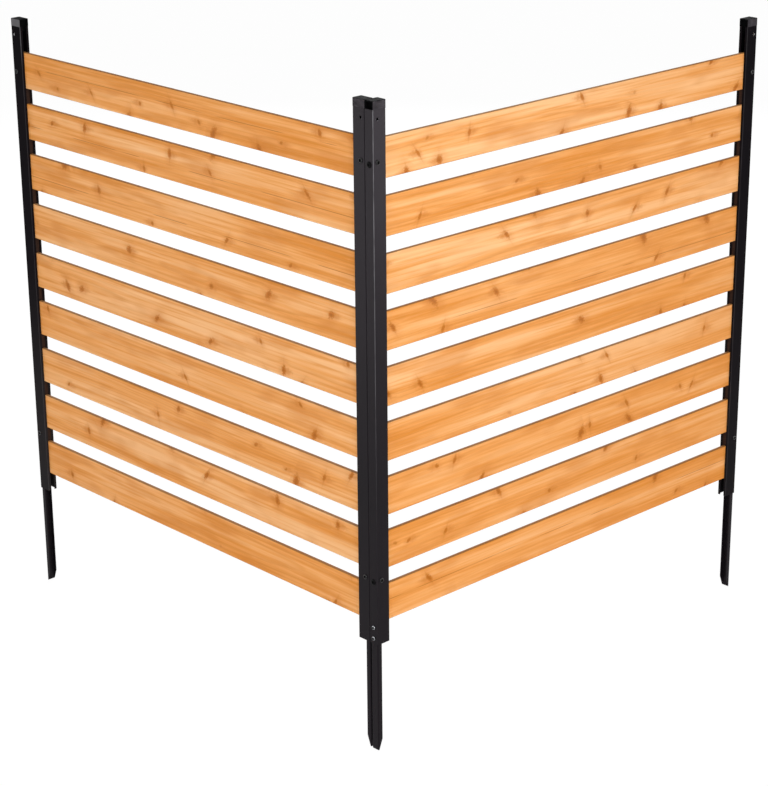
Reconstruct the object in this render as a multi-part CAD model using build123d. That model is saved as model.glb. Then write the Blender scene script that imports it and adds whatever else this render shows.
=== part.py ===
from build123d import *
import os

# Privacy fence of two slatted panels that meet at a corner, standing on stakes.
# X runs along the right panel, Y along the left one, and Z is up, in millimetres.
# The origin is the outer corner at ground level, where the feet of the posts stand.

# Wooden slats
slat_count = 9
slat_height = 88.0
slat_thickness = 10.0
slat_gap = 37.0
slat_bevel = 1.2
slat_end_play = 0.5

# One panel, measured over the webs of its two posts
panel_width = 1245.0
foot_reach = 47.0
head_reach = 62.0

# Lipped steel channel of the posts
post_flange = 36.0
post_lip = 7.0
post_sheet = 1.5
post_bend = 0.6
mouth_play = 0.5
top_hole_radius = 3.4
top_hole_drop = 20.0

# Wooden spacer blocks, caught behind the lips between the slats
spacer_catch = 1.2
spacer_play = 0.5

# Steel U channel of the stakes
stake_flange = 12.0
stake_sheet = 2.0
stake_bend = 0.8
stake_reach = 262.0
stake_taper = 26.0
stake_side_play = 0.5
stake_web_play = 0.2

# Moulded caps
cap_height = 18.0
cap_plate = 3.0
cap_corner = 0.6
cap_wall = 1.2
cap_recess = 10.0
cap_plug = 13.0
cap_plug_wall = 2.0
cap_plug_play = 0.4
cap_spacing = 0.3
cap_bevel = 0.8

# Pan head screws that fix the stakes
stake_screw_head_radius = 5.0
stake_screw_head_height = 3.2
stake_screw_radius = 2.4
stake_screw_length = 9.0
stake_screw_drop = 8.0
stake_screw_pitch = 26.0

# Screws through the front flanges, into the highest slat and the lowest spacer
flange_screw_head_radius = 5.5
flange_screw_head_height = 3.0
flange_screw_radius = 2.0
flange_screw_length = 15.0
flange_screw_drop = 48.0

# Wide screws through the webs, into the same slat and spacer
web_screw_head_radius = 7.0
web_screw_head_height = 2.4
web_screw_radius = 2.2
web_screw_length = 26.0

# Form and fits of the screws, which are drawn with flat sides
screw_sides = 12
screw_bevel = 1.4
hole_play = 0.3
thread_play = 0.05
screw_pass = 0.8

# Sizes that follow from those above
slat_pitch = slat_height + slat_gap
slats_top = foot_reach + slat_pitch * (slat_count - 1) + slat_height
post_height = slats_top + head_reach
mouth = slat_thickness + 2 * mouth_play
post_depth = mouth + 2 * post_lip
post_middle = post_depth / 2
spacer_depth = mouth + 2 * spacer_catch
stake_width = post_depth - 2 * post_sheet - 2 * stake_side_play
stake_back = post_sheet + stake_web_play

# The web of one corner post stands on the back flange of the other, hole on hole
flange_hole_reach = post_middle
joint_hole_radius = web_screw_radius + hole_play

# Each web screw passes below a flange screw in the wood
screw_step = flange_screw_radius + web_screw_radius + screw_pass
high_flange_screw = slats_top - flange_screw_drop
low_flange_screw = foot_reach + slat_height + slat_gap / 2
flange_screw_heights = (low_flange_screw, high_flange_screw)
web_screw_heights = [height - screw_step for height in flange_screw_heights]
high_stake_screw = foot_reach - stake_screw_drop
stake_screw_heights = (high_stake_screw - stake_screw_pitch, high_stake_screw)

plane_corner = (Align.MIN, Align.MIN)
block_end = (Align.MIN, Align.CENTER, Align.MIN)
along_panel = (1, 0, 0)
into_front = (0, 1, 0)
into_back = (0, -1, 0)


# A bevelled head on a plain shank, seated at a place and running on from it
class Screw:
    def __init__(self, head_radius, head_height, radius, length, seat, toward):
        self.radius = radius
        self.length = length
        self.place = Plane(origin=seat, z_dir=toward).location
        head = extrude(RegularPolygon(head_radius, screw_sides), amount=-head_height)
        crown = head.faces().sort_by(Axis.Z)[0]
        head = chamfer(crown.edges(), screw_bevel)
        shank = extrude(RegularPolygon(radius, screw_sides), amount=length)
        self.solid = (self.place * (head + shank)).solid()

    # The hole that it cuts for itself, with play round its shank
    def hole(self, play):
        outline = Pos(0, 0, -play) * RegularPolygon(self.radius + play, screw_sides)
        return self.place * extrude(outline, amount=self.length + 2 * play)


def round_hole(radius, length, start, toward):
    return Solid.make_cylinder(radius, length, Plane(origin=start, z_dir=toward))


# All pieces below are drawn in one panel's own frame: x along the panel from the outer face
# of the corner post's web, y from the front flanges to the back, z up from the posts' feet.

def post_section():
    outside = RectangleRounded(
        post_flange, post_depth, post_bend + post_sheet, align=plane_corner
    )
    room = RectangleRounded(
        post_flange - 2 * post_sheet, post_depth - 2 * post_sheet, post_bend, align=plane_corner
    )
    slot = Rectangle(2 * post_sheet, mouth)
    return outside - Pos(post_sheet, post_sheet) * room - Pos(post_flange, post_middle) * slot


# The post at the corner end, with its mouth along the panel
def make_post(screws):
    post = extrude(post_section(), amount=post_height)
    top_hole = (flange_hole_reach, 0, post_height - top_hole_drop)
    post -= round_hole(top_hole_radius, post_middle, top_hole, into_front)
    for height in web_screw_heights:
        joint_hole = (flange_hole_reach, post_depth, height)
        post -= round_hole(joint_hole_radius, post_middle, joint_hole, into_back)
    for screw in screws:
        post -= screw.hole(hole_play)
    return post.solid()


def make_stake(screws):
    outside = RectangleRounded(
        2 * stake_flange, stake_width, stake_bend + stake_sheet, align=(Align.MIN, Align.CENTER)
    )
    room = RectangleRounded(
        2 * (stake_flange - stake_sheet),
        stake_width - 2 * stake_sheet,
        stake_bend,
        align=(Align.MIN, Align.CENTER),
    )
    half = Rectangle(stake_flange, stake_width, align=(Align.MIN, Align.CENTER))
    section = (outside - Pos(stake_sheet, 0) * room) & half
    stake = extrude(section, amount=foot_reach + stake_reach)
    # The flanges run out to the web over the length of the point
    point = Polyline(
        (stake_sheet, 0), (stake_flange, stake_taper), (stake_flange, 0), close=True
    )
    stake -= extrude(Plane.XZ * make_face(point), amount=stake_width / 2, both=True)
    stake = Pos(stake_back, post_middle, -stake_reach) * stake
    for screw in screws:
        stake -= screw.hole(thread_play)
    return stake.solid()


# Flush with the post: two side walls and a core under a plate, open at both ends, with a hollow
# plug in the channel
def make_cap():
    length = post_flange - cap_spacing
    outline = Rectangle(length, post_depth, align=plane_corner)
    outline = chamfer(outline.vertices(), cap_corner)
    body = Pos(cap_spacing, 0, post_height) * extrude(outline, amount=cap_height)
    top = body.faces().sort_by(Axis.Z)[-1]
    body = chamfer(top.edges(), cap_bevel)
    recess = Box(
        cap_recess, post_depth - 2 * cap_wall, cap_height - cap_plate, align=block_end
    )
    plug_start = cap_spacing + cap_recess
    plug_end = post_flange - cap_recess
    body -= Pos(cap_spacing, post_middle, post_height) * recess
    body -= Pos(plug_end, post_middle, post_height) * recess
    plug_length = plug_end - plug_start
    plug_width = post_depth - 2 * post_sheet - 2 * cap_plug_play
    plug_foot = post_height - cap_plug
    body += Pos(plug_start, post_middle, plug_foot) * Box(
        plug_length, plug_width, cap_plug, align=block_end
    )
    body -= Pos(plug_start + cap_plug_wall, post_middle, plug_foot) * Box(
        plug_length - 2 * cap_plug_wall,
        plug_width - 2 * cap_plug_wall,
        cap_plug + cap_height - cap_plate,
        align=block_end,
    )
    return body.solid()


def make_slat(base):
    start = post_sheet + slat_end_play
    slat = Box(panel_width - 2 * start, slat_thickness, slat_height, align=block_end)
    slat = Pos(start, post_middle, base) * slat
    return chamfer(slat.edges().filter_by(Axis.X), slat_bevel).solid()


# The blocks of one post from the lowest up; screws hold the lowest
def make_spacers(screws):
    start = post_sheet + spacer_play
    block = Box(post_flange - 2 * start, spacer_depth, slat_gap, align=block_end)
    spacers = []
    for step in range(slat_count - 1):
        base = foot_reach + slat_height + step * slat_pitch
        spacers.append(Pos(start, post_middle, base) * block)
    for screw in screws:
        spacers[0] -= screw.hole(thread_play)
    return [spacer.solid() for spacer in spacers]


# Where a post's web is covered by its neighbour, its stake is held through the back flange
def make_stake_screws(web_covered):
    screws = []
    for height in stake_screw_heights:
        seat = (0, post_middle, height)
        toward = along_panel
        if web_covered:
            seat = (stake_back + stake_flange / 2, post_depth, height)
            toward = into_back
        screws.append(
            Screw(
                stake_screw_head_radius,
                stake_screw_head_height,
                stake_screw_radius,
                stake_screw_length,
                seat,
                toward,
            )
        )
    return screws


def make_flange_screws():
    return [
        Screw(
            flange_screw_head_radius,
            flange_screw_head_height,
            flange_screw_radius,
            flange_screw_length,
            (flange_hole_reach, 0, height),
            into_front,
        )
        for height in flange_screw_heights
    ]


# Where the web is covered, the heads seat inside the neighbour's flange and join the two posts
def make_web_screws(web_covered):
    seat_reach = -post_sheet if web_covered else 0
    return [
        Screw(
            web_screw_head_radius,
            web_screw_head_height,
            web_screw_radius,
            web_screw_length,
            (seat_reach, post_middle, height),
            along_panel,
        )
        for height in web_screw_heights
    ]


# One end of a panel: its post with all that is fixed in it, and the screws for the highest slat
def make_panel_end(web_covered):
    stake_screws = make_stake_screws(web_covered)
    flange_screws = make_flange_screws()
    web_screws = make_web_screws(web_covered)
    low_screws = [flange_screws[0], web_screws[0]]
    high_screws = [flange_screws[1], web_screws[1]]
    pieces = {
        "post": make_post(stake_screws + flange_screws + web_screws),
        "cap": make_cap(),
        "stake": make_stake(stake_screws),
        "spacers": Compound(make_spacers(low_screws)),
        "stake_screws": Compound([screw.solid for screw in stake_screws]),
        "flange_screws": Compound([screw.solid for screw in flange_screws]),
        "web_screws": Compound([screw.solid for screw in web_screws]),
    }
    return pieces, high_screws


# All pieces of one panel by name; its far end is the mirror image of the corner end
def make_panel(side, web_covered):
    mid_panel = Plane(origin=(panel_width / 2, 0, 0), z_dir=along_panel)
    corner_end, corner_screws = make_panel_end(web_covered)
    far_end, far_screws = make_panel_end(False)
    pieces = {}
    for name, piece in corner_end.items():
        pieces[f"{side}_corner_{name}"] = piece
    for name, piece in far_end.items():
        pieces[f"{side}_end_{name}"] = piece.mirror(mid_panel)
    for number in range(1, slat_count + 1):
        base = foot_reach + slat_pitch * (slat_count - number)
        slat = make_slat(base)
        if number == 1:
            for screw in corner_screws:
                slat -= screw.hole(thread_play)
            for screw in far_screws:
                slat -= screw.hole(thread_play).mirror(mid_panel)
        pieces[f"{side}_slat_{number}"] = slat.solid()
    return pieces


# The left panel is drawn like the right one, then its x and y change places
swap_sides = Plane(origin=(0, 0, 0), z_dir=(1, -1, 0))
fence = make_panel("right", web_covered=False)
for name, piece in make_panel("left", web_covered=True).items():
    fence[name] = Pos(0, post_depth, 0) * piece.mirror(swap_sides)

os.makedirs("parts", exist_ok=True)
for name, piece in fence.items():
    export_step(piece, f"parts/{name}.step")
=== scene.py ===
import bmesh
import bpy
import math
from mathutils import Matrix, Vector


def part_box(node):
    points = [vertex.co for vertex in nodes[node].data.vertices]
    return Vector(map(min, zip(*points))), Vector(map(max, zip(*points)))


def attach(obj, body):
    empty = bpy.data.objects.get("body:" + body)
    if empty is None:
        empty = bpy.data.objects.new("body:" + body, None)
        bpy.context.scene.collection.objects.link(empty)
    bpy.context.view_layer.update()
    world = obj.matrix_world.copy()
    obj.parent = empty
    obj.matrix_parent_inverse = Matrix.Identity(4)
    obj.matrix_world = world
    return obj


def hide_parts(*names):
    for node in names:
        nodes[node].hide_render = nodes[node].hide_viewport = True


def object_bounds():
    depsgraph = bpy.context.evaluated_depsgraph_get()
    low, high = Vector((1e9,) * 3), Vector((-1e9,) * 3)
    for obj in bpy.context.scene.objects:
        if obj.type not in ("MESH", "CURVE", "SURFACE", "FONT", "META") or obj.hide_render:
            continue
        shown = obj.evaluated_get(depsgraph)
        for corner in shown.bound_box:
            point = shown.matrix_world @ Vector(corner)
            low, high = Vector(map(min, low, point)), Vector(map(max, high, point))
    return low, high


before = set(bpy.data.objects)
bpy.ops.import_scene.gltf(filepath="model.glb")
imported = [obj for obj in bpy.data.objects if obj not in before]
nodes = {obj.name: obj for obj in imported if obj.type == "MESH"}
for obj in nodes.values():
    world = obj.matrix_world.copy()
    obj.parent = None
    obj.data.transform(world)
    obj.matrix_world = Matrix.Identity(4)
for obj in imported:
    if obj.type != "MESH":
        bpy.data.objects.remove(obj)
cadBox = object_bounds()
panels = ("right", "left")
ends = ("corner", "end")
slatCount = sum(name.startswith("right_slat_") for name in nodes)
print("frame loaded,", len(nodes), "nodes,", slatCount, "slats a panel")


# small helpers

def srgb(red, green, blue):
    # a colour as it is seen, 0 to 255, made linear for the shaders
    def linear(value):
        part = value / 255
        return part / 12.92 if part <= 0.04045 else ((part + 0.055) / 1.055) ** 2.4
    return (linear(red), linear(green), linear(blue), 1)


def selectOnly(piece):
    bpy.ops.object.select_all(action="DESELECT")
    piece.select_set(True)
    bpy.context.view_layer.objects.active = piece


def settle(piece):
    # place, turn and size go into the mesh
    selectOnly(piece)
    bpy.ops.object.transform_apply(location=True, rotation=True, scale=True)


def editPiece(piece):
    selectOnly(piece)
    bpy.ops.object.mode_set(mode="EDIT")
    bpy.ops.mesh.select_mode(type="FACE")
    bpy.ops.mesh.select_all(action="DESELECT")


def leaveEdit():
    bpy.ops.object.mode_set(mode="OBJECT")


def pickFaces(piece, wanted):
    mesh = bmesh.from_edit_mesh(piece.data)
    for face in mesh.faces:
        face.select_set(wanted(face.calc_center_median(), face.normal))
    bmesh.update_edit_mesh(piece.data)


def pickEdges(piece, wanted):
    bpy.ops.mesh.select_mode(type="EDGE")
    mesh = bmesh.from_edit_mesh(piece.data)
    for edge in mesh.edges:
        edge.select_set(wanted(edge.verts[0].co, edge.verts[1].co))
    bmesh.update_edit_mesh(piece.data)


def copyPiece(source, name, place):
    # each copy has its own mesh, put down by a matrix that goes into it
    piece = source.copy()
    piece.data = source.data.copy()
    piece.name = name
    piece.data.name = name
    bpy.context.scene.collection.objects.link(piece)
    piece.matrix_world = place
    settle(piece)
    return piece


def dropPiece(piece):
    bpy.data.objects.remove(piece)


def give(piece, material):
    piece.data.materials.clear()
    piece.data.materials.append(material)


# shader maths on sockets

noiseRoughness = 0.55


class Wire:
    def __init__(self, tree, socket=None):
        self.tree = tree
        self.socket = socket

    def node(self, kind, settings=None, inputs=None, out=0):
        made = self.tree.nodes.new(kind)
        for key, value in (settings or {}).items():
            if key == "stops":
                ramp = made.color_ramp.elements
                while len(ramp) < len(value):
                    ramp.new(0.5)
                for stop, (spot, colour) in zip(ramp, value):
                    stop.position = spot
                    stop.color = colour
            else:
                setattr(made, key, value)
        for key, value in (inputs or {}).items():
            if isinstance(value, Wire):
                self.tree.links.new(value.socket, made.inputs[key])
            else:
                made.inputs[key].default_value = value
        return Wire(self.tree, made.outputs[out] if made.outputs else None)

    def math(self, operation, *values):
        return self.node("ShaderNodeMath", {"operation": operation}, dict(enumerate(values)))

    def __add__(self, other):
        return self.math("ADD", self, other)

    def __radd__(self, other):
        return self.math("ADD", other, self)

    def __sub__(self, other):
        return self.math("SUBTRACT", self, other)

    def __rsub__(self, other):
        return self.math("SUBTRACT", other, self)

    def __mul__(self, other):
        return self.math("MULTIPLY", self, other)

    def __rmul__(self, other):
        return self.math("MULTIPLY", other, self)

    def __truediv__(self, other):
        return self.math("DIVIDE", self, other)

    def __abs__(self):
        return self.math("ABSOLUTE", self)

    def floor(self):
        return self.math("FLOOR", self)

    def fract(self):
        return self.math("FRACT", self)

    def length(self, other):
        return self.math("SQRT", self * self + other * other)

    def rise(self, low, high):
        # 0 below low, 1 above high, smooth between
        return self.node(
            "ShaderNodeMapRange",
            {"interpolation_type": "SMOOTHSTEP"},
            {"Value": self, "From Min": low, "From Max": high},
        )

    def fall(self, low, high):
        return 1 - self.rise(low, high)

    def other(self, name):
        # another output of the node that this wire leaves
        return Wire(self.tree, self.socket.node.outputs[name])

    def parts(self):
        split = self.node("ShaderNodeSeparateXYZ", None, {0: self})
        return split, split.other("Y"), split.other("Z")

    def vector(self, x, y, z):
        return self.node("ShaderNodeCombineXYZ", None, {0: x, 1: y, 2: z})

    def stretch(self, x, y, z):
        settings = {"operation": "MULTIPLY"}
        return self.node("ShaderNodeVectorMath", settings, {0: self, 1: (x, y, z)})

    def minus(self, other):
        settings = {"operation": "SUBTRACT"}
        return self.node("ShaderNodeVectorMath", settings, {0: self, 1: other})

    def noise(self, x, y, z, detail):
        # so many times finer than a metre in each direction
        settings = {"noise_dimensions": "3D"}
        inputs = {"Vector": self.stretch(x, y, z), "Scale": 1, "Detail": detail}
        inputs["Roughness"] = noiseRoughness
        return self.node("ShaderNodeTexNoise", settings, inputs)

    def toward(self, colour, mask):
        # this colour, turned to another where the mask is 1
        settings = {"data_type": "RGBA"}
        return self.node("ShaderNodeMix", settings, {0: mask, 6: self, 7: colour}, 2)

    def ramp(self, *stops):
        return self.node("ShaderNodeValToRGB", {"stops": stops}, {0: self})

    def bump(self, strength, distance):
        inputs = {"Height": self, "Strength": strength, "Distance": distance}
        return self.node("ShaderNodeBump", None, inputs)


def newMaterial(name, fixed):
    # a material with its shader's fixed values set, and a wire to draw from
    material = bpy.data.materials.new(name)
    material.use_nodes = True
    shader = material.node_tree.nodes["Principled BSDF"]
    for key, value in fixed.items():
        shader.inputs[key].default_value = value
    wire = Wire(material.node_tree)
    return material, shader, wire


shaderSockets = {
    "colour": "Base Color",
    "roughness": "Roughness",
    "metallic": "Metallic",
    "normal": "Normal",
}


def feed(shader, **wires):
    for key, wire in wires.items():
        wire.tree.links.new(wire.socket, shader.inputs[shaderSockets[key]])


def objectPlace(wire):
    return wire.node("ShaderNodeTexCoord", None, None, "Object")


def panelPlace(panel, place):
    # along the panel, into it from its front, and up
    x, y, z = place.parts()
    return (x, y, z) if panel == "right" else (y, x, z)


# stained softwood of the slats

slatWood = {
    "pale": srgb(254, 196, 137),
    "honey": srgb(243, 169, 96),
    "deep": srgb(225, 141, 54),
    "late": srgb(194, 116, 40),
    "brown": srgb(208, 127, 50),
    "knot": srgb(190, 106, 14),
    "knotHeart": srgb(160, 86, 12),
    # painted shade: the dark tone of the slats' top and bottom faces
    "edge": srgb(138, 98, 58),
    "gloss": 0.12,
    "seed": {"right": 3, "left": 31},
    "seedRun": 2.37,         # how far along and up the next slat's wood is taken from
    "seedUp": 0.71,
    "rowRoom": 0.1,          # below a slat, so that its lower edge is in its own row
    "ringWidth": 0.0056,
    "ringRipple": 0.0045,
    "ringSwell": 0.0028,     # round a knot
    "heartReach": 0.12,      # how far above or below the slat the tree's heart may lie
    "heartRise": 0.07,       # how far it wanders along the board
    "heartDepth": 0.03,
    "heartMore": 0.03,
    "heartSway": 0.045,
    "swayShift": 50,         # keeps the two wanderings apart
    "knotSpacing": 0.104,
    "knotChance": (0.34, 0.38),                # cells of a lower reach have none
    "knotLean": 1.5,
    "knotLeast": 0.0046,
    "knotMore": 0.0066,
    "knotFlat": 0.3,         # a knot's height for its width, at the least
    "knotTall": 1.5,         # and what its reach adds
    "knotRuffle": 1.5,
    "branchSize": (0.007, 0.04),
    "branchReach": (0.55, 0.75),
    "shadeAside": 0.013,     # how far to one side of a knot its shade lies
    "shadeSize": (0.036, 0.013),
    "shadeRuffle": 0.012,
    "splitFade": (0.0001, 0.0011),
    "splitChance": (0.74, 0.76),
    "splitSpread": 0.06,
    "splitWander": 0.02,
    "farPaintedShade": {"right": 0.2, "left": 0.0},    # painted shade, darker toward the panel's far end
    "lowPaintedShade": {"right": 0.22, "left": 0.1},   # painted shade, darker toward the ground
    "edgeFade": (0.0424, 0.0438),              # from the slat's middle line
    "raggedNoise": (190, 260, 190, 3),         # how fine along, up and in, and how detailed
    "wanderNoise": (0.9, 1, 1, 1),
    "swayNoise": (0.8, 1, 1, 1),
    "rippleNoise": (2.6, 34, 34, 2),
    "bandNoise": (1.3, 27, 27, 3),
    "cloudNoise": (5.5, 19, 19, 2),
    "streakNoise": (4, 150, 150, 4),
    "fibreNoise": (24, 900, 900, 2),
    "bump": (0.22, 0.0006),
}

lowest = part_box(f"right_slat_{slatCount}")
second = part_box(f"right_slat_{slatCount - 1}")
slatBase = lowest[0].z
slatHeight = lowest[1].z - lowest[0].z
slatPitch = second[0].z - lowest[0].z


def slatMaterial(panel):
    wood = slatWood
    fixed = {"Specular IOR Level": wood["gloss"]}
    material, shader, wire = newMaterial(panel + "SlatWood", fixed)
    along, depth, z = panelPlace(panel, objectPlace(wire))

    # which slat this is, and the place on it
    row = ((z - slatBase) / slatPitch + wood["rowRoom"]).floor()
    local = z - slatBase - slatHeight / 2 - row * slatPitch
    seed = row + wood["seed"][panel]
    settings = {"noise_dimensions": "1D"}
    chance = wire.node("ShaderNodeTexWhiteNoise", settings, {"W": seed}, "Color")
    first, middle, last = chance.parts()
    run = along + seed * wood["seedRun"]
    grain = wire.vector(run, local, depth)

    # knots, each in a cell of its own, leaning as branches do
    spacing = wood["knotSpacing"]
    knotPlace = wire.vector(run / spacing, (local + seed * wood["seedUp"]) / spacing, 0)
    cell = wire.node(
        "ShaderNodeTexVoronoi",
        {"voronoi_dimensions": "2D", "feature": "F1"},
        {"Vector": knotPlace, "Scale": 1, "Randomness": 1},
        "Color",
    )
    lean, girth, reach = cell.parts()
    away = knotPlace.minus(cell.other("Position")).stretch(spacing, spacing, spacing)
    awayAlong, awayUp = away.parts()[:2]
    tilted = awayAlong + awayUp * (lean - 0.5) * wood["knotLean"]
    width = girth * girth * wood["knotMore"] + wood["knotLeast"]
    height = width * (reach * wood["knotTall"] + wood["knotFlat"])
    ruffle = grain.noise(*wood["raggedNoise"]) - 0.5
    radius = (tilted / width).length(awayUp / height) + ruffle * wood["knotRuffle"]
    present = reach.rise(*wood["knotChance"])
    knot = radius.fall(0.5, 1.35) * present
    heart = radius.fall(0.0, 0.8) * present * girth.rise(0.15, 0.6)
    halo = radius.fall(0.5, 4.0) * present

    # the branch behind a knot, and the shade to one side of it
    thick, long = wood["branchSize"]
    branch = (abs(tilted) / thick + abs(awayUp) / long).fall(0.1, 1.0) * present
    branch = branch * reach.rise(*wood["branchReach"])
    side = lean.rise(0.49, 0.51) * 2 - 1
    wide, high = wood["shadeSize"]
    aside = abs(awayAlong + side * wood["shadeAside"]) / wide
    shade = (abs(awayUp + ruffle * wood["shadeRuffle"]) / high + aside).fall(0.0, 1.0) * present

    # growth rings round a heart that wanders slowly along the board
    wander = grain.noise(*wood["wanderNoise"]) - 0.5
    swayPlace = wire.vector(run + wood["swayShift"], local, depth)
    sway = swayPlace.noise(*wood["swayNoise"]) - 0.5
    heartUp = (first - 0.5) * wood["heartReach"] + wander * wood["heartRise"]
    heartIn = middle * wood["heartMore"] + wood["heartDepth"] + sway * wood["heartSway"]
    ripple = grain.noise(*wood["rippleNoise"]) - 0.5
    fromHeart = (local - heartUp).length(depth + heartIn) + ripple * wood["ringRipple"]
    turn = ((fromHeart + halo * wood["ringSwell"]) / wood["ringWidth"]).fract()
    late = turn.rise(0.3, 0.86) * turn.fall(0.88, 1.0)

    # broad bands, blotches, streaks, fibres and the odd long split
    band = grain.noise(*wood["bandNoise"])
    cloud = grain.noise(*wood["cloudNoise"])
    streak = grain.noise(*wood["streakNoise"])
    fibre = grain.noise(*wood["fibreNoise"])
    splitUp = (middle - 0.5) * wood["splitSpread"] + wander * wood["splitWander"]
    split = abs(local - splitUp).fall(*wood["splitFade"]) * cloud.rise(0.42, 0.5)
    split = split * last.rise(*wood["splitChance"])
    # painted shade: the top and bottom faces of each slat, with the outer part of the eased
    # edges, turn dark
    edge = abs(local).rise(*wood["edgeFade"])

    # the stain, then what lies on it, in this order
    stain = band * 0.7 + (last - 0.5) * 0.1 + streak * 0.3
    colour = stain.ramp((0.36, wood["pale"]), (0.5, wood["honey"]), (0.64, wood["deep"]))
    layers = (
        ("late", late * (0.05 + band.rise(0.35, 0.65) * 0.2)),
        ("brown", cloud.rise(0.48, 0.68) * 0.42),
        ("deep", streak.rise(0.5, 0.7) * 0.4),
        ("pale", fibre.rise(0.55, 0.75) * 0.22),
        # painted shade: the wood darkens toward a panel's far end and toward the ground
        ("deep", along.rise(0.4, 1.2) * wood["farPaintedShade"][panel]),
        ("deep", row.fall(1, 7) * wood["lowPaintedShade"][panel]),
        ("brown", shade * 0.62),
        ("brown", halo * 0.3),
        ("brown", branch * 0.4),
        ("knotHeart", split * 0.75),
        ("knot", knot * 0.85),
        ("knotHeart", heart * 0.55),
        ("edge", edge * 0.8),
    )
    for tint, mask in layers:
        colour = colour.toward(wood[tint], mask)

    relief = late * 0.35 + fibre * 0.5 + streak * 0.3 - knot * 0.4 - split
    feed(
        shader,
        colour=colour,
        roughness=0.5 + streak * 0.16 - knot * 0.1 + edge * 0.2,
        normal=relief.bump(*wood["bump"]),
    )
    return material


# rough wood of the spacer blocks, painted near black-brown as the shade inside the channels

shadedSpacerWood = {
    "light": srgb(58, 34, 21),
    "dark": srgb(30, 18, 12),
    "gloss": 0.2,
    "streakNoise": (420, 420, 40, 4),
    "sawNoise": (30, 30, 700, 2),
    "bump": (0.4, 0.0006),
}


def spacerMaterial():
    wood = shadedSpacerWood
    material, shader, wire = newMaterial("shadedSpacerWood", {"Specular IOR Level": wood["gloss"]})
    place = objectPlace(wire)
    saw = place.noise(*wood["sawNoise"])
    mix = place.noise(*wood["streakNoise"]) * 0.7 + saw * 0.3
    # painted shade: both tones of the ramp are near black-brown
    colour = mix.ramp((0.3, wood["light"]), (0.7, wood["dark"]))
    feed(shader, colour=colour, roughness=0.7 + saw * 0.2, normal=mix.bump(*wood["bump"]))
    return material


# black powder coat of the posts and stakes

powderCoat = {
    "black": srgb(16, 14, 16),
    "dusty": srgb(25, 21, 25),
    # painted highlight along the posts' bends
    "bendHighlight": srgb(116, 115, 118),
    "footGrey": srgb(42, 40, 41),
    # bare steel at the top hole's rim; the end posts' near-white is a painted glint
    "steel": {"corner": srgb(170, 171, 175), "end": srgb(216, 216, 218)},
    "bareMetal": {"corner": 1, "end": 0.2},
    # painted shade: the end posts' coat is a copy of the corner posts' coat with almost no
    # gloss, so that it renders darker
    "gloss": {"corner": 0.08, "end": 0.006},
    "glossTint": (1, 0.86, 1, 1),
    "topHoleReach": 0.0125,  # from the web's face
    "topHoleDrop": 0.020,    # from the post's top
    "topHoleRadius": 0.0034,
    "topHoleEdge": 0.00003,
    "topHoleDepth": (0.004, 0.005),            # the back flange has no such hole
    "bendFade": (0.0012, 0.0018),              # from the two faces of a bend, taken together
    "highlightHeight": (0.2, 1.1),                  # where the painted highlight on a corner's bends grows stronger
    "leastHighlight": 0.06,
    "highlightRise": 0.84,
    "headHeight": (1.08, 1.19),
    "headHighlight": {"right": 0.0, "left": 0.5},   # painted highlight on an end post's lips, at the top
    "lipHighlight": 0.14,                           # and all the way down
    "footHeight": (0.1, 0.65),
    "footLighten": {"right": 0.35, "left": 1.0},
    "peelNoise": (620, 620, 620, 2),
    "grainNoise": (2600, 2600, 2600, 1),
    "driftNoise": (9, 9, 4, 3),
    "patchNoise": (40, 40, 14, 3),
    "bump": (0.16, 0.0004),
}


def coatGloss(end):
    return {
        "Specular IOR Level": powderCoat["gloss"][end],
        "Specular Tint": powderCoat["glossTint"],
    }


def coatWires(place):
    peel = place.noise(*powderCoat["peelNoise"])
    grain = place.noise(*powderCoat["grainNoise"])
    drift = place.noise(*powderCoat["driftNoise"])
    tone = drift * 0.6 + grain * 0.4
    colour = tone.ramp((0.3, powderCoat["black"]), (0.75, powderCoat["dusty"]))
    roughness = 0.28 + drift * 0.1 + grain * 0.08
    normal = (peel * 0.7 + grain * 0.3).bump(*powderCoat["bump"])
    return colour, roughness, normal


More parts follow.
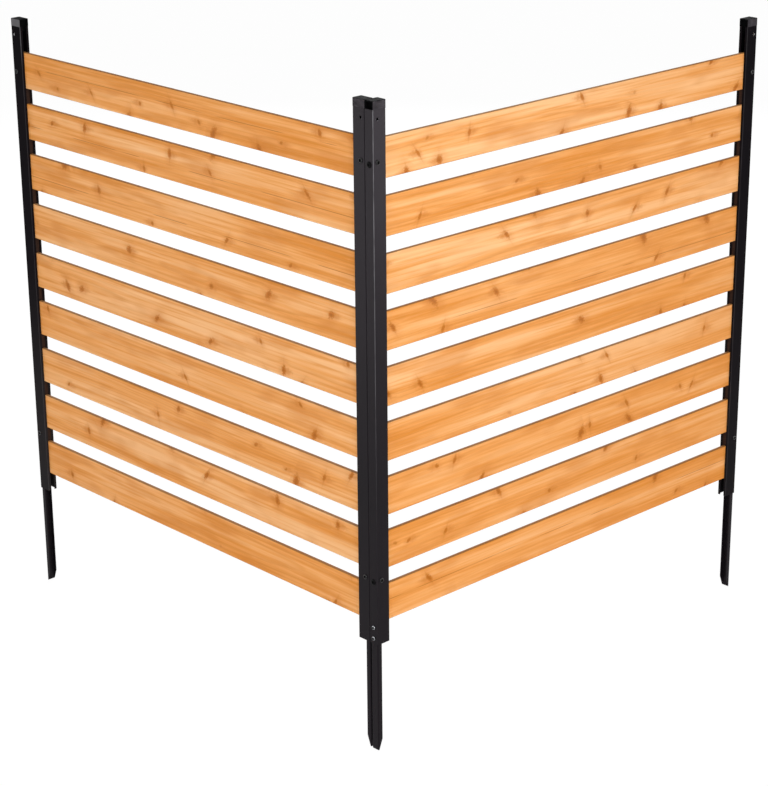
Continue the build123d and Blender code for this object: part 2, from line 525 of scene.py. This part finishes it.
def postMaterial(panel, end):
    coat = powderCoat
    material, shader, wire = newMaterial(f"{panel}{end.capitalize()}PostCoat", coatGloss(end))
    place = objectPlace(wire)
    colour, roughness, normal = coatWires(place)
    along, depth, z = panelPlace(panel, place)
    axis = 0 if panel == "right" else 1
    low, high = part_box(f"{panel}_{end}_post")
    fromWeb = along - low[axis] if end == "corner" else high[axis] - along

    # the drilled rim of the top hole is bare steel; on the end posts its near-white, barely
    # metallic colour is a painted glint
    holeHeight = high.z - coat["topHoleDrop"]
    distance = (fromWeb - coat["topHoleReach"]).length(z - holeHeight)
    rim = coat["topHoleRadius"]
    bareRimAndGlint = distance.fall(rim, rim + coat["topHoleEdge"]) * depth.fall(*coat["topHoleDepth"])

    # painted highlight: a light grey on a corner post's outer bends, stronger higher up, and on
    # an end post's lips
    middle = (low[1 - axis] + high[1 - axis]) / 2
    fromFace = high[1 - axis] - middle - abs(depth - middle)
    patchy = 0.4 + place.noise(*coat["patchNoise"]).rise(0.25, 0.6) * 0.6
    if end == "corner":
        bend = fromWeb + fromFace
        highlightShare = coat["leastHighlight"] + z.rise(*coat["highlightHeight"]) * coat["highlightRise"]
    else:
        bend = high[axis] - low[axis] - fromWeb + fromFace
        highlightShare = coat["lipHighlight"] + z.rise(*coat["headHeight"]) * coat["headHighlight"][panel]
        # lighter towards the foot of an end post, the left one most
        footLighten = z.fall(*coat["footHeight"]) * coat["footLighten"][panel]
        colour = colour.toward(coat["footGrey"], footLighten)
    bendHidden = panel == "left" and end == "corner"   # behind the right panel's post, so its bend gets no painted highlight
    if not bendHidden:
        bendHighlight = bend.fall(*coat["bendFade"]) * patchy * highlightShare
        colour = colour.toward(coat["bendHighlight"], bendHighlight)
    feed(
        shader,
        colour=colour.toward(coat["steel"][end], bareRimAndGlint),
        roughness=roughness,
        metallic=bareRimAndGlint * coat["bareMetal"][end],
        normal=normal,
    )
    return material


def stakeMaterial():
    material, shader, wire = newMaterial("stakeCoat", coatGloss("corner"))
    colour, roughness, normal = coatWires(objectPlace(wire))
    feed(shader, colour=colour, roughness=roughness, normal=normal)
    return material


# moulded caps

capPlastic = {
    "black": srgb(14, 14, 15),
    # painted sheen: the grey tones of the caps' flange-flush sides
    "dull": srgb(48, 45, 48),
    "sideSheen": srgb(80, 76, 80),
    "endCapGrey": srgb(124, 123, 126),
    "endCapGreyShare": {"right": 0, "left": 0.62},   # how much of it, on the end caps
    "endCapGreyStart": (-0.02, -0.01),          # before an end cap
    "index": 1.02,
    "skin": 0.0003,          # how deep the painted sheen on the sides reaches
    "skinFade": 0.0001,
    "sparkNoise": (1500, 1500, 1500, 2),
    "smearNoise": (60, 60, 110, 3),
    "bump": (0.1, 0.0003),
}


def capMaterial(panel):
    cap = capPlastic
    material, shader, wire = newMaterial(panel + "CapPlastic", {"IOR": cap["index"]})
    place = objectPlace(wire)
    spark = place.noise(*cap["sparkNoise"])
    smear = place.noise(*cap["smearNoise"])
    colour = (smear * 0.7 + spark * 0.3).ramp((0.35, cap["dull"]), (0.7, cap["sideSheen"]))
    along, depth = panelPlace(panel, place)[:2]
    axis = 0 if panel == "right" else 1
    low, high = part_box(panel + "_end_cap")
    start, full = (low[axis] + step for step in cap["endCapGreyStart"])
    # lighter grey on the left end cap
    colour = colour.toward(cap["endCapGrey"], along.rise(start, full) * cap["endCapGreyShare"][panel])

    # painted sheen: the two sides that are flush with the flanges are grey, the top and the
    # open ends keep the plastic's black
    reach = (high[1 - axis] - low[1 - axis]) / 2
    outward = abs(depth - (low[1 - axis] + reach))
    skinFoot = reach - cap["skin"]
    inner = outward.fall(skinFoot - cap["skinFade"], skinFoot)
    feed(
        shader,
        colour=colour.toward(cap["black"], inner),
        roughness=0.34 + smear * 0.16,
        normal=spark.bump(*cap["bump"]),
    )
    return material


# plated and blackened screws

screwFinish = {
    "zinc": srgb(150, 151, 154),
    "zincDull": srgb(78, 79, 82),
    "coat": srgb(14, 14, 15),
    "coatWorn": srgb(40, 39, 40),
    "coatIndex": 1.36,
    "black": srgb(7, 7, 8),
    "blackWorn": srgb(17, 16, 16),
    "blackIndex": 1.12,
    "recess": srgb(5, 5, 6),
    "recessIndex": 1.05,
    "zincNoise": (380, 380, 380, 3),
    "darkNoise": (520, 520, 520, 3),
    "dirtAndShadeNoise": (900, 900, 900, 2),
    "zincBump": (0.08, 0.0002),
    "darkBump": (0.1, 0.0002),
}


def zincMaterial():
    screw = screwFinish
    material, shader, wire = newMaterial("screwZinc", {"Metallic": 1.0})
    bloom = objectPlace(wire).noise(*screw["zincNoise"])
    colour = bloom.ramp((0.35, screw["zinc"]), (0.72, screw["zincDull"]))
    normal = bloom.bump(*screw["zincBump"])
    feed(shader, colour=colour, roughness=0.1 + bloom * 0.16, normal=normal)
    return material


def darkScrewMaterial(name, finish):
    # blackened heads, glossier with a higher index
    screw = screwFinish
    material, shader, wire = newMaterial(name, {"IOR": screw[finish + "Index"]})
    bloom = objectPlace(wire).noise(*screw["darkNoise"])
    colour = bloom.ramp((0.4, screw[finish]), (0.8, screw[finish + "Worn"]))
    normal = bloom.bump(*screw["darkBump"])
    feed(shader, colour=colour, roughness=0.2 + bloom * 0.2, normal=normal)
    return material


def recessMaterial():
    # the dirt and shade at the foot of the cross recesses
    screw = screwFinish
    material, shader, wire = newMaterial("screwRecess", {"IOR": screw["recessIndex"]})
    dirtAndShade = objectPlace(wire).noise(*screw["dirtAndShadeNoise"])
    colour = dirtAndShade.ramp((0.3, screw["recess"]), (0.8, screw["blackWorn"]))
    feed(shader, colour=colour, roughness=0.6 + dirtAndShade * 0.3)
    return material


slatMaterials = {panel: slatMaterial(panel) for panel in panels}
capMaterials = {panel: capMaterial(panel) for panel in panels}
finishes = {
    "spacers": spacerMaterial(),
    "stake": stakeMaterial(),
    "stake_screws": zincMaterial(),
    "flange_screws": darkScrewMaterial("screwCoat", "coat"),
    "web_screws": darkScrewMaterial("screwBlack", "black"),
    "recess": recessMaterial(),
}
for panel in panels:
    for end in ends:
        stem = f"{panel}_{end}_"
        give(nodes[stem + "post"], postMaterial(panel, end))
        give(nodes[stem + "cap"], capMaterials[panel])
        for kind in ("spacers", "stake"):
            give(nodes[stem + kind], finishes[kind])
print("finishes made and given to the steel, caps and spacers")


# slats: planed boards with their long edges eased

board = {
    "ease": 0.0022,
    "easeSteps": 3,
    "endEase": 0.0007,
    "endRoom": 0.00001,      # an edge this near an end is on it
    "smoothBelow": math.radians(35),
}


def modelBoard(size):
    bpy.ops.object.select_all(action="DESELECT")
    bpy.ops.mesh.primitive_cube_add(size=1)
    piece = bpy.context.object
    piece.scale = size
    settle(piece)
    editPiece(piece)
    pickEdges(piece, lambda a, b: abs(a.x - b.x) > size.x / 2)
    bpy.ops.mesh.bevel(offset=board["ease"], segments=board["easeSteps"], affect="EDGES")
    endPlane = size.x / 2 - board["endRoom"]
    pickEdges(piece, lambda a, b: abs(a.x) > endPlane and abs(b.x) > endPlane and a.x * b.x > 0)
    bpy.ops.mesh.bevel(offset=board["endEase"], segments=1, affect="EDGES")
    leaveEdit()
    bpy.ops.object.shade_smooth_by_angle(angle=board["smoothBelow"])
    return piece


boardSize = lowest[1] - lowest[0]
pattern = modelBoard(boardSize)
for panel in panels:
    turn = Matrix.Rotation(math.radians(90), 4, "Z") if panel == "left" else Matrix.Identity(4)
    for number in range(1, slatCount + 1):
        node = f"{panel}_slat_{number}"
        low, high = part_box(node)
        place = Matrix.Translation((low + high) / 2) @ turn
        piece = copyPiece(pattern, f"{panel}Board{number}", place)
        give(piece, slatMaterials[panel])
        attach(piece, "root")
        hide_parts(node)
dropPiece(pattern)
print("boards made:", len(panels) * slatCount)


# screws: domed heads with a cross recess, modelled once for each kind

screwKinds = {
    "stake_screws": {
        "slot": "stake_screw_zinc",
        "domeShare": 0.62,
        "crossShare": 0.64,
        "crossWidth": 0.22,
    },
    "flange_screws": {
        "slot": "black_screw",
        "domeShare": 0.60,
        "crossShare": 0.62,
        "crossWidth": 0.2,
    },
    "web_screws": {
        "slot": "black_screw",
        "domeShare": 0.75,
        "crossShare": 0.44,
        "crossWidth": 0.11,
    },
}
screwForm = {
    "sides": 36,
    "rimShare": 0.98,        # points this far out are on the head's rim
    "domeSteps": 6,
    "domeEnd": math.radians(84),
    "crossTop": 1.1,
    "crossDepthShare": 0.62,
    "crossTaper": 0.55,
    "tipShare": 0.35,
    "smoothBelow": math.radians(40),
}
facing = 0.9                 # how nearly a picked face has to point the wanted way
sideways = [Vector(way) for way in ((1, 0, 0), (-1, 0, 0), (0, 1, 0), (0, -1, 0))]


def screwSizes(node):
    # head, shank and seats of the two screws in a node, read from its mesh
    low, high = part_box(node)
    axis = 0 if high.x - low.x > high.y - low.y else 1
    across = 1 - axis
    headRadius = (high[across] - low[across]) / 2
    line = (high[across] + low[across]) / 2
    heights = (low.z + headRadius, high.z - headRadius)
    points = [vertex.co for vertex in nodes[node].data.vertices]
    rimStart = headRadius * screwForm["rimShare"]
    rim = [point[axis] for point in points if abs(point[across] - line) > rimStart]
    headAtLow = max(rim) < (low[axis] + high[axis]) / 2
    seat = max(rim) if headAtLow else min(rim)
    tip = high[axis] if headAtLow else low[axis]
    crown = low[axis] if headAtLow else high[axis]
    shankRadius = max(abs(point[across] - line) for point in points if point[axis] == tip)
    toward = Vector((0, 0, 0))
    toward[axis] = -1 if headAtLow else 1
    seats = []
    for height in heights:
        place = Vector((0, 0, height))
        place[axis] = seat
        place[across] = line
        seats.append(place)
    return {
        "headRadius": headRadius,
        "headHeight": abs(crown - seat),
        "shankRadius": shankRadius,
        "shankLength": abs(tip - seat),
        "toward": toward,
        "seats": seats,
    }


def resizeFace(share, height=0):
    bpy.ops.transform.resize(value=(share, share, 1), center_override=(0, 0, height))


def pushFace(step, share):
    # the picked face goes on by a step, and its outline to a share of what it was
    bpy.ops.mesh.extrude_region_move(TRANSFORM_OT_translate={"value": (0, 0, step)})
    resizeFace(share)


def modelScrew(name, sizes, kind):
    radius = sizes["headRadius"]
    height = sizes["headHeight"]
    bpy.ops.object.select_all(action="DESELECT")
    bpy.ops.mesh.primitive_cylinder_add(
        vertices=screwForm["sides"],
        radius=sizes["shankRadius"],
        depth=sizes["shankLength"],
        location=(0, 0, -sizes["shankLength"] / 2),
    )
    piece = bpy.context.object
    settle(piece)
    editPiece(piece)
    pickFaces(piece, lambda centre, normal: normal.z < -facing)
    pushFace(0, screwForm["tipShare"])
    pickFaces(piece, lambda centre, normal: normal.z > facing)
    pushFace(0, radius / sizes["shankRadius"])
    dome = height * kind["domeShare"]
    pushFace(height - dome, 1)
    reached = 1.0
    risen = 0.0
    steps = screwForm["domeSteps"]
    for step in range(1, steps + 1):
        angle = screwForm["domeEnd"] * step / steps
        pushFace(dome * (math.sin(angle) - risen), math.cos(angle) / reached)
        reached = math.cos(angle)
        risen = math.sin(angle)
    leaveEdit()
    cutter = modelCross(radius, height, kind)
    give(piece, finishes[name])
    give(cutter, finishes["recess"])
    cut = piece.modifiers.new("recess", "BOOLEAN")
    cut.solver = "EXACT"
    cut.material_mode = "TRANSFER"
    cut.object = cutter
    cut.operation = "DIFFERENCE"
    selectOnly(piece)
    bpy.ops.object.modifier_apply(modifier=cut.name)
    dropPiece(cutter)
    selectOnly(piece)
    bpy.ops.object.shade_smooth_by_angle(angle=screwForm["smoothBelow"])
    piece.name = name
    return piece


def modelCross(radius, height, kind):
    # a plus sign, narrower at its foot
    width = 2 * radius * kind["crossWidth"]
    reach = radius * kind["crossShare"] - width / 2
    top = height * screwForm["crossTop"]
    foot = height * (1 - screwForm["crossDepthShare"])
    bpy.ops.object.select_all(action="DESELECT")
    bpy.ops.mesh.primitive_cube_add(size=1, location=(0, 0, (top + foot) / 2))
    cutter = bpy.context.object
    cutter.scale = (width, width, top - foot)
    settle(cutter)
    editPiece(cutter)
    for way in sideways:
        pickFaces(
            cutter,
            lambda centre, normal: normal.dot(way) > facing and centre.dot(way) < width,
        )
        bpy.ops.mesh.extrude_region_move(TRANSFORM_OT_translate={"value": way * reach})
    pickFaces(cutter, lambda centre, normal: normal.z < -facing)
    resizeFace(screwForm["crossTaper"], foot)
    leaveEdit()
    return cutter


for kindName, kind in screwKinds.items():
    pattern = modelScrew(kindName, screwSizes("right_corner_" + kindName), kind)
    for panel in panels:
        for end in ends:
            node = f"{panel}_{end}_{kindName}"
            sizes = screwSizes(node)
            turn = sizes["toward"].to_track_quat("Z", "Y").to_matrix().to_4x4()
            pair = []
            for seat in sizes["seats"]:
                pair.append(copyPiece(pattern, node + "_head", Matrix.Translation(seat) @ turn))
            bpy.ops.object.select_all(action="DESELECT")
            for screw in pair:
                screw.select_set(True)
            bpy.context.view_layer.objects.active = pair[0]
            bpy.ops.object.join()
            piece = bpy.context.object
            kindTitle = kindName.title().replace("_", "")
            piece.name = f"{panel}{end.capitalize()}{kindTitle}"
            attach(piece, "root")
            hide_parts(node)
    dropPiece(pattern)
print("screws made:", len(screwKinds) * len(panels) * len(ends), "pairs")


# floor, background and light

stage = {
    "floorSize": 60,
    "floorWhite": (0.92, 0.92, 0.92, 1),
    "ownGlow": 0.92,         # how much of the floor is plain white to the camera
    "glowLevel": 1.045,
    "skyLight": 0.62,
    "overhead": 0.3,         # what is left of that light straight above
    "overheadRise": (0.1, 0.8),
}
lamps = {
    "keyLamp": {"place": (-1.2, -4.6, 2.6), "size": 2.6, "power": 149},
    "sideLamp": {"place": (-4.6, -0.6, 2.3), "size": 2.6, "power": 63},
    "lowLamp": {"place": (-2.75, -2.9, 0.15), "size": 0.6, "power": 16},
    "backLamp": {"place": (3.8, 3.8, 2.4), "size": 3.0, "power": 145},
    "rightSheen": {"place": (2.0, -2.15, 0.6), "size": 1.0, "power": 36},
    "leftSheen": {"place": (-2.0, 2.15, 0.3), "size": 1.4, "power": 21},
}
sheenOnly = ("rightSheen", "leftSheen")   # seen in the gloss of the pieces alone


def seenDirectly(wire):
    # 1 for what the camera, a gloss or a clear piece sees of it
    path = wire.node("ShaderNodeLightPath", None, None, "Is Camera Ray")
    glossy, clear = path.other("Is Glossy Ray"), path.other("Is Transmission Ray")
    return path.math("MAXIMUM", path, path.math("MAXIMUM", glossy, clear))


def makeFloor():
    bpy.ops.object.select_all(action="DESELECT")
    bpy.ops.mesh.primitive_plane_add(size=stage["floorSize"], location=(0, 0, cadBox[0].z))
    floor = bpy.context.object
    floor.name = "floor"
    settle(floor)
    material = bpy.data.materials.new("floorWhite")
    material.use_nodes = True
    tree = material.node_tree
    tree.nodes.clear()
    wire = Wire(tree)
    plain = wire.node("ShaderNodeBsdfDiffuse", None, {"Color": stage["floorWhite"]})
    glow = wire.node("ShaderNodeEmission", None, {"Strength": stage["glowLevel"]})
    share = seenDirectly(wire) * stage["ownGlow"]
    mixed = wire.node("ShaderNodeMixShader", None, {0: share, 1: plain, 2: glow})
    wire.node("ShaderNodeOutputMaterial", None, {"Surface": mixed})
    give(floor, material)


def makeSky():
    sky = bpy.data.worlds.new("softWhite")
    sky.use_nodes = True
    sky.node_tree.nodes.clear()
    wire = Wire(sky.node_tree)
    seen = seenDirectly(wire)
    upward = wire.node("ShaderNodeTexCoord", None, None, "Generated").parts()[2]
    dimmed = upward.rise(*stage["overheadRise"]) * (1 - stage["overhead"])
    soft = stage["skyLight"] * (1 - dimmed)
    inputs = {"Color": (1, 1, 1, 1), "Strength": seen + (1 - seen) * soft}
    light = wire.node("ShaderNodeBackground", None, inputs)
    wire.node("ShaderNodeOutputWorld", None, {"Surface": light})
    bpy.context.scene.world = sky


def makeLamps(aim):
    for name, lamp in lamps.items():
        light = bpy.data.lights.new(name, "AREA")
        light.size = lamp["size"]
        light.energy = lamp["power"]
        holder = bpy.data.objects.new(name, light)
        bpy.context.scene.collection.objects.link(holder)
        place = Vector(lamp["place"])
        holder.location = place
        holder.rotation_euler = (aim - place).to_track_quat("-Z", "Y").to_euler()
        holder.visible_diffuse = name not in sheenOnly


makeFloor()
makeSky()
makeLamps((cadBox[0] + cadBox[1]) / 2)
print("floor, sky and lamps placed")


# camera, from the photograph's viewing angle

view = {
    "place": (-3.065, -3.2957, 2.2424),
    "heading": 46.848,       # degrees from +X
    "tilt": 20.156,          # degrees below the level
    "roll": -0.472,
    "lens": 104.24,
    "sensor": 36,
}


def makeCamera():
    camera = bpy.data.cameras.new("photoView")
    camera.lens = view["lens"]
    camera.sensor_width = view["sensor"]
    holder = bpy.data.objects.new("photoView", camera)
    bpy.context.scene.collection.objects.link(holder)
    heading = Matrix.Rotation(math.radians(view["heading"] - 90), 4, "Z")
    tilt = Matrix.Rotation(math.radians(90 - view["tilt"]), 4, "X")
    roll = Matrix.Rotation(math.radians(view["roll"]), 4, "Z")
    holder.matrix_world = Matrix.Translation(view["place"]) @ heading @ tilt @ roll
    bpy.context.scene.camera = holder


makeCamera()
bpy.context.scene.view_settings.view_transform = "Standard"
print("camera placed")
